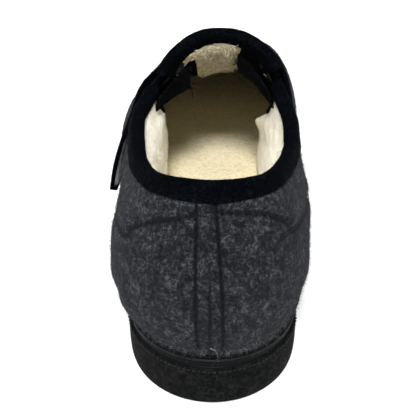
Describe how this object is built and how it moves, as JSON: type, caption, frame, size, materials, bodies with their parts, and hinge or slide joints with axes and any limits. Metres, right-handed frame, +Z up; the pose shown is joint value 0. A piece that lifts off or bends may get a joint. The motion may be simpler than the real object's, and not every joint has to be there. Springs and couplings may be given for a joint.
{
  "type": "slipper",
  "caption": "Left felt slipper with a fleece lining, knit-bound collar, bound tongue on elastic gussets, an instep strap and a flat-treaded rubber unit sole.",
  "frame": {"origin": "on the floor, under the middle of the slipper's box", "axes": "+Z up, +Y from heel to toe, -X towards the lateral side of a left foot"},
  "size_m": [0.1042, 0.2904, 0.1131],
  "materials": {
    "rubber": "matt black, fine grain on the side, smooth rand",
    "felt": "dark grey marl wool felt, fuzzy",
    "knit": "black knit tape, matt",
    "elastic": "black woven elastic",
    "wool": "cream wool pile",
    "grip": "light grey touch fastening, dull"
  },
  "bodies": {
    "root": {"outsole": "rubber", "insole": "wool", "felt_upper": "felt", "collar_binding": "knit", "tongue": "felt", "tongue_binding": "knit", "gusset_lateral": "elastic", "gusset_medial": "elastic", "instep_strap": "felt", "hook_patch": "grip"}
  },
  "joints": []
}
